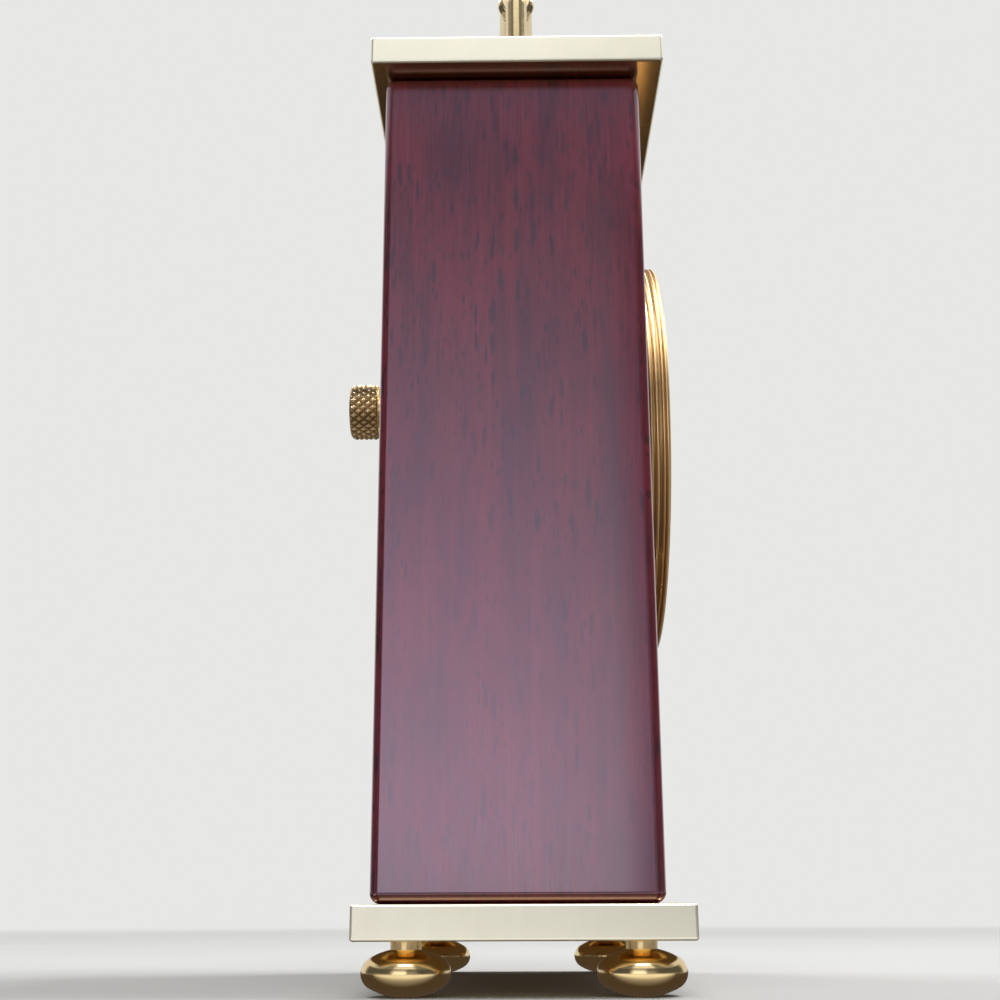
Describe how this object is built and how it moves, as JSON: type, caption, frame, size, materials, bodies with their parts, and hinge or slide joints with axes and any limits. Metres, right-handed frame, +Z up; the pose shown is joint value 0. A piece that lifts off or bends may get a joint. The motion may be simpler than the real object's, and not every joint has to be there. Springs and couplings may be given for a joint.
{
  "type": "desk clock",
  "caption": "Upright wooden desk clock between brass plates on bun feet, with a carrying handle, a round glazed dial and a knurled knob behind that sets the hands.",
  "frame": {"origin": "on the floor, under the middle of the overall width and depth", "axes": "+Z up, the dial faces -Y, +X to the right of someone facing the dial"},
  "size_m": [0.1216, 0.0698, 0.2187],
  "materials": {
    "lacquered_wood": "high-gloss clear lacquer over red mahogany",
    "polished_brass": "polished and lacquered",
    "golden_brass": "polished, turned",
    "cover_brass": "brushed round",
    "plain_brass": "turned, unpolished",
    "crystal_glass": "clear, polished",
    "gasket_rubber": "matt",
    "dial_paint": "satin cream paint with black numerals",
    "hand_black": "gloss black",
    "housing_plastic": "fine texture",
    "wheel_plastic": "moulded",
    "stem_steel": "ground",
    "motor_iron": "bright stamped",
    "magnet": "sintered",
    "coil_wire": "enamelled copper wire",
    "board_green": "solder mask",
    "bright_metal": "bright plated",
    "cell_wrap": "printed sleeve over steel"
  },
  "bodies": {
    "case": {"case_body": "lacquered_wood", "top_plate": "polished_brass", "bottom_plate": "polished_brass", "foot_front_left": "polished_brass", "foot_front_right": "polished_brass", "foot_back_left": "polished_brass", "foot_back_right": "polished_brass", "base_screws": "plain_brass", "handle_arm_left": "polished_brass", "handle_arm_right": "polished_brass", "handle_collar_left": "polished_brass", "handle_collar_right": "polished_brass", "handle_inserts": "plain_brass", "handle_grip": "polished_brass", "dial_sleeve": "plain_brass", "sleeve_screws": "plain_brass", "bezel": "golden_brass", "crystal": "crystal_glass", "crystal_gasket": "gasket_rubber", "dial_ring": "golden_brass", "dial": "dial_paint", "centre_bush": "plain_brass", "bush_washer": "plain_brass", "bush_nut": "plain_brass", "movement_base": "housing_plastic", "movement_cover": "housing_plastic", "train_bridge": "housing_plastic", "stator": "motor_iron", "coil": "coil_wire", "coil_core": "motor_iron", "circuit_board": "board_green", "quartz_can": "bright_metal", "battery_cell": "cell_wrap", "battery_contact_positive": "bright_metal", "battery_contact_negative": "bright_metal", "rear_cover": "cover_brass", "rear_cover_screws": "plain_brass", "stem_bush": "cover_brass"},
    "setting_knob": {"set_knob": "golden_brass", "set_stem": "stem_steel", "minute_wheel": "wheel_plastic"},
    "minute_pointer": {"cannon_pinion": "plain_brass", "minute_hand": "hand_black"},
    "hour_pointer": {"hour_wheel": "wheel_plastic", "hour_hand": "hand_black"},
    "seconds_pointer": {"seconds_wheel": "wheel_plastic", "second_hand": "hand_black"},
    "centre_runner": {"centre_wheel": "wheel_plastic"},
    "third_runner": {"third_wheel": "wheel_plastic"},
    "intermediate_runner": {"intermediate_wheel": "wheel_plastic"},
    "motor_rotor": {"rotor_pinion": "wheel_plastic", "rotor_magnet": "magnet"}
  },
  "joints": [
    {"name": "knob_turn", "type": "hinge", "parent": "case", "child": "setting_knob", "pos_m": [0, 0.02295, 0.12727], "axis": [0, 1, 0], "continuous": true},
    {"name": "minute_turn", "type": "hinge", "parent": "case", "child": "minute_pointer", "pos_m": [0, -0.025, 0.11427], "axis": [0, 1, 0], "continuous": true},
    {"name": "hour_turn", "type": "hinge", "parent": "case", "child": "hour_pointer", "pos_m": [0, -0.025, 0.11427], "axis": [0, 1, 0], "continuous": true},
    {"name": "second_turn", "type": "hinge", "parent": "case", "child": "seconds_pointer", "pos_m": [0, -0.025, 0.11427], "axis": [0, 1, 0], "continuous": true},
    {"name": "centre_wheel_turn", "type": "hinge", "parent": "case", "child": "centre_runner", "pos_m": [0, -0.014, 0.11427], "axis": [0, 1, 0], "continuous": true},
    {"name": "third_wheel_turn", "type": "hinge", "parent": "case", "child": "third_runner", "pos_m": [-0.01122, -0.014, 0.11427], "axis": [0, 1, 0], "continuous": true},
    {"name": "intermediate_wheel_turn", "type": "hinge", "parent": "case", "child": "intermediate_runner", "pos_m": [0.0116, -0.012, 0.11427], "axis": [0, 1, 0], "continuous": true},
    {"name": "rotor_turn", "type": "hinge", "parent": "case", "child": "motor_rotor", "pos_m": [0.0158, -0.01, 0.12154], "axis": [0, 1, 0], "continuous": true}
  ],
  "couplings": [
    {"joint": "knob_turn", "follows": "minute_turn", "ratio": -0.33333},
    {"joint": "hour_turn", "follows": "minute_turn", "ratio": 0.083333},
    {"joint": "intermediate_wheel_turn", "follows": "rotor_turn", "ratio": -0.16667},
    {"joint": "second_turn", "follows": "rotor_turn", "ratio": 0.033333},
    {"joint": "third_wheel_turn", "follows": "rotor_turn", "ratio": -0.0044444},
    {"joint": "centre_wheel_turn", "follows": "rotor_turn", "ratio": 0.00055556}
  ]
}
